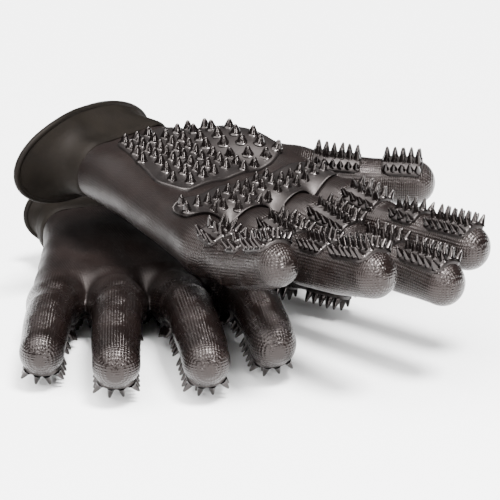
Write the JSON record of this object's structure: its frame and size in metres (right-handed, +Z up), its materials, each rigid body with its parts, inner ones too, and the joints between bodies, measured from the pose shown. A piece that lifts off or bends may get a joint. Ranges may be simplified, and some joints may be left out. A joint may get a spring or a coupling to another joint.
{
  "type": "grooming glove",
  "caption": "Pair of rubber pet-grooming gloves with flared cuffs and soft nub pads on palms and fingers; each digit bends at its root and middle crease.",
  "frame": {"origin": "on the ground under the middle of the pair's bounding box", "axes": "+Z up, out of the surface the pair lies on; +X to the side the upper glove's fingers point to; -Y to the side the lower glove's fingers point to"},
  "size_m": [0.2264, 0.2384, 0.095],
  "materials": {
    "coated_rubber": "semi-gloss dipped rubber with the knit backing showing through",
    "nub_rubber": "glossy moulded rubber",
    "cuff_rubber": "matte smooth rubber",
    "hem_rubber": "matte smooth rubber",
    "knit_liner": "dark ribbed knit"
  },
  "bodies": {
    "right_hand": {"right_hand_shell": "coated_rubber", "right_knit_liner": "knit_liner", "right_cuff": "cuff_rubber", "right_cuff_hem": "hem_rubber", "right_heel_pad": "nub_rubber", "right_palm_pad": "nub_rubber"},
    "left_hand": {"left_hand_shell": "coated_rubber", "left_knit_liner": "knit_liner", "left_cuff": "cuff_rubber", "left_cuff_hem": "hem_rubber", "left_heel_pad": "nub_rubber", "left_palm_pad": "nub_rubber"},
    "left_index_base": {"left_index_base_shell": "coated_rubber", "left_index_base_pad": "nub_rubber"},
    "left_index_end": {"left_index_end_shell": "coated_rubber", "left_index_middle_pad": "nub_rubber", "left_index_tip_pad": "nub_rubber"},
    "left_little_base": {"left_little_base_shell": "coated_rubber", "left_little_base_pad": "nub_rubber"},
    "left_little_end": {"left_little_end_shell": "coated_rubber", "left_little_middle_pad": "nub_rubber", "left_little_tip_pad": "nub_rubber"},
    "left_middle_base": {"left_middle_base_shell": "coated_rubber", "left_middle_base_pad": "nub_rubber"},
    "left_middle_end": {"left_middle_end_shell": "coated_rubber", "left_middle_middle_pad": "nub_rubber", "left_middle_tip_pad": "nub_rubber"},
    "left_ring_base": {"left_ring_base_shell": "coated_rubber", "left_ring_base_pad": "nub_rubber"},
    "left_ring_end": {"left_ring_end_shell": "coated_rubber", "left_ring_middle_pad": "nub_rubber", "left_ring_tip_pad": "nub_rubber"},
    "left_thumb_base": {"left_thumb_base_shell": "coated_rubber", "left_thumb_base_pad": "nub_rubber"},
    "left_thumb_end": {"left_thumb_end_shell": "coated_rubber", "left_thumb_tip_pad": "nub_rubber"},
    "right_index_base": {"right_index_base_shell": "coated_rubber", "right_index_base_pad": "nub_rubber"},
    "right_index_end": {"right_index_end_shell": "coated_rubber", "right_index_middle_pad": "nub_rubber", "right_index_tip_pad": "nub_rubber"},
    "right_little_base": {"right_little_base_shell": "coated_rubber", "right_little_base_pad": "nub_rubber"},
    "right_little_end": {"right_little_end_shell": "coated_rubber", "right_little_middle_pad": "nub_rubber", "right_little_tip_pad": "nub_rubber"},
    "right_middle_base": {"right_middle_base_shell": "coated_rubber", "right_middle_base_pad": "nub_rubber"},
    "right_middle_end": {"right_middle_end_shell": "coated_rubber", "right_middle_middle_pad": "nub_rubber", "right_middle_tip_pad": "nub_rubber"},
    "right_ring_base": {"right_ring_base_shell": "coated_rubber", "right_ring_base_pad": "nub_rubber"},
    "right_ring_end": {"right_ring_end_shell": "coated_rubber", "right_ring_middle_pad": "nub_rubber", "right_ring_tip_pad": "nub_rubber"},
    "right_thumb_base": {"right_thumb_base_shell": "coated_rubber", "right_thumb_base_pad": "nub_rubber"},
    "right_thumb_end": {"right_thumb_end_shell": "coated_rubber", "right_thumb_tip_pad": "nub_rubber"}
  },
  "joints": [
    {"name": "left_glove_lift", "type": "slide", "parent": "right_hand", "child": "left_hand", "axis": [0, 0, 1], "range_m": [0, 0.2]},
    {"name": "left_index_root", "type": "hinge", "parent": "left_hand", "child": "left_index_base", "pos_m": [0.04924, -0.00002, 0.05797], "axis": [-0.6951, -0.7184, -0.0282], "range_deg": [-3, 45], "stiffness_Nm_per_rad": 0.25},
    {"name": "left_index_middle", "type": "hinge", "parent": "left_index_base", "child": "left_index_end", "pos_m": [0.06998, -0.01994, 0.05423], "axis": [-0.6951, -0.7184, -0.0282], "range_deg": [-3, 39], "stiffness_Nm_per_rad": 0.25},
    {"name": "left_middle_root", "type": "hinge", "parent": "left_hand", "child": "left_middle_base", "pos_m": [0.03292, -0.02403, 0.05652], "axis": [-0.7316, -0.6814, -0.0214], "range_deg": [-3, 47], "stiffness_Nm_per_rad": 0.25},
    {"name": "left_middle_middle", "type": "hinge", "parent": "left_middle_base", "child": "left_middle_end", "pos_m": [0.05452, -0.04705, 0.05124], "axis": [-0.7316, -0.6814, -0.0214], "range_deg": [-3, 40], "stiffness_Nm_per_rad": 0.25},
    {"name": "left_ring_root", "type": "hinge", "parent": "left_hand", "child": "left_ring_base", "pos_m": [0.01191, -0.0444, 0.05581], "axis": [-0.8087, -0.5882, -0.0054], "range_deg": [-3, 42], "stiffness_Nm_per_rad": 0.25},
    {"name": "left_ring_middle", "type": "hinge", "parent": "left_ring_base", "child": "left_ring_end", "pos_m": [0.02951, -0.06858, 0.05342], "axis": [-0.8087, -0.5882, -0.0054], "range_deg": [-3, 35], "stiffness_Nm_per_rad": 0.25},
    {"name": "left_little_root", "type": "hinge", "parent": "left_hand", "child": "left_little_base", "pos_m": [-0.01414, -0.05834, 0.05619], "axis": [-0.8565, -0.5161, 0.0061], "range_deg": [-3, 40], "stiffness_Nm_per_rad": 0.25},
    {"name": "left_little_middle", "type": "hinge", "parent": "left_little_base", "child": "left_little_end", "pos_m": [-0.00177, -0.07887, 0.05511], "axis": [-0.8565, -0.5161, 0.0061], "range_deg": [-3, 30], "stiffness_Nm_per_rad": 0.25},
    {"name": "left_thumb_root", "type": "hinge", "parent": "left_hand", "child": "left_thumb_base", "pos_m": [0.0267, 0.03805, 0.06365], "axis": [-0.113, -0.8437, -0.5248], "range_deg": [-3, 15], "stiffness_Nm_per_rad": 0.25},
    {"name": "left_thumb_middle", "type": "hinge", "parent": "left_thumb_base", "child": "left_thumb_end", "pos_m": [0.06445, 0.03459, 0.06108], "axis": [-0.113, -0.8437, -0.5248], "range_deg": [-3, 41], "stiffness_Nm_per_rad": 0.25},
    {"name": "right_index_root", "type": "hinge", "parent": "right_hand", "child": "right_index_base", "pos_m": [-0.00184, -0.01431, 0.01549], "axis": [0.9728, 0.2318, -0.0044], "range_deg": [-3, 66], "stiffness_Nm_per_rad": 0.25},
    {"name": "right_index_middle", "type": "hinge", "parent": "right_index_base", "child": "right_index_end", "pos_m": [0.00455, -0.04094, 0.02504], "axis": [0.9728, 0.2318, -0.0044], "range_deg": [-3, 21], "stiffness_Nm_per_rad": 0.25},
    {"name": "right_middle_root", "type": "hinge", "parent": "right_hand", "child": "right_middle_base", "pos_m": [-0.02811, -0.02676, 0.01543], "axis": [0.9835, 0.1806, -0.006], "range_deg": [-3, 61], "stiffness_Nm_per_rad": 0.25},
    {"name": "right_middle_middle", "type": "hinge", "parent": "right_middle_base", "child": "right_middle_end", "pos_m": [-0.02246, -0.05726, 0.02329], "axis": [0.9835, 0.1806, -0.006], "range_deg": [-3, 27], "stiffness_Nm_per_rad": 0.25},
    {"name": "right_ring_root", "type": "hinge", "parent": "right_hand", "child": "right_ring_base", "pos_m": [-0.05657, -0.03362, 0.01555], "axis": [0.9982, 0.0595, -0.0097], "range_deg": [-3, 61], "stiffness_Nm_per_rad": 0.25},
    {"name": "right_ring_middle", "type": "hinge", "parent": "right_ring_base", "child": "right_ring_end", "pos_m": [-0.05477, -0.06263, 0.02296], "axis": [0.9982, 0.0595, -0.0097], "range_deg": [-3, 27], "stiffness_Nm_per_rad": 0.25},
    {"name": "right_little_root", "type": "hinge", "parent": "right_hand", "child": "right_little_base", "pos_m": [-0.08608, -0.0323, 0.01593], "axis": [0.9999, 0.0072, -0.0113], "range_deg": [-3, 56], "stiffness_Nm_per_rad": 0.25},
    {"name": "right_little_middle", "type": "hinge", "parent": "right_little_base", "child": "right_little_end", "pos_m": [-0.08587, -0.05598, 0.01982], "axis": [0.9999, 0.0072, -0.0113], "range_deg": [-3, 31], "stiffness_Nm_per_rad": 0.25},
    {"name": "right_thumb_root", "type": "hinge", "parent": "right_hand", "child": "right_thumb_base", "pos_m": [-0.00177, 0.03026, 0.01698], "axis": [0.4711, 0.7855, -0.4013], "range_deg": [-3, 23], "stiffness_Nm_per_rad": 0.25},
    {"name": "right_thumb_middle", "type": "hinge", "parent": "right_thumb_base", "child": "right_thumb_end", "pos_m": [0.03142, 0.01203, 0.02027], "axis": [0.4711, 0.7855, -0.4013], "range_deg": [-3, 37], "stiffness_Nm_per_rad": 0.25}
  ]
}
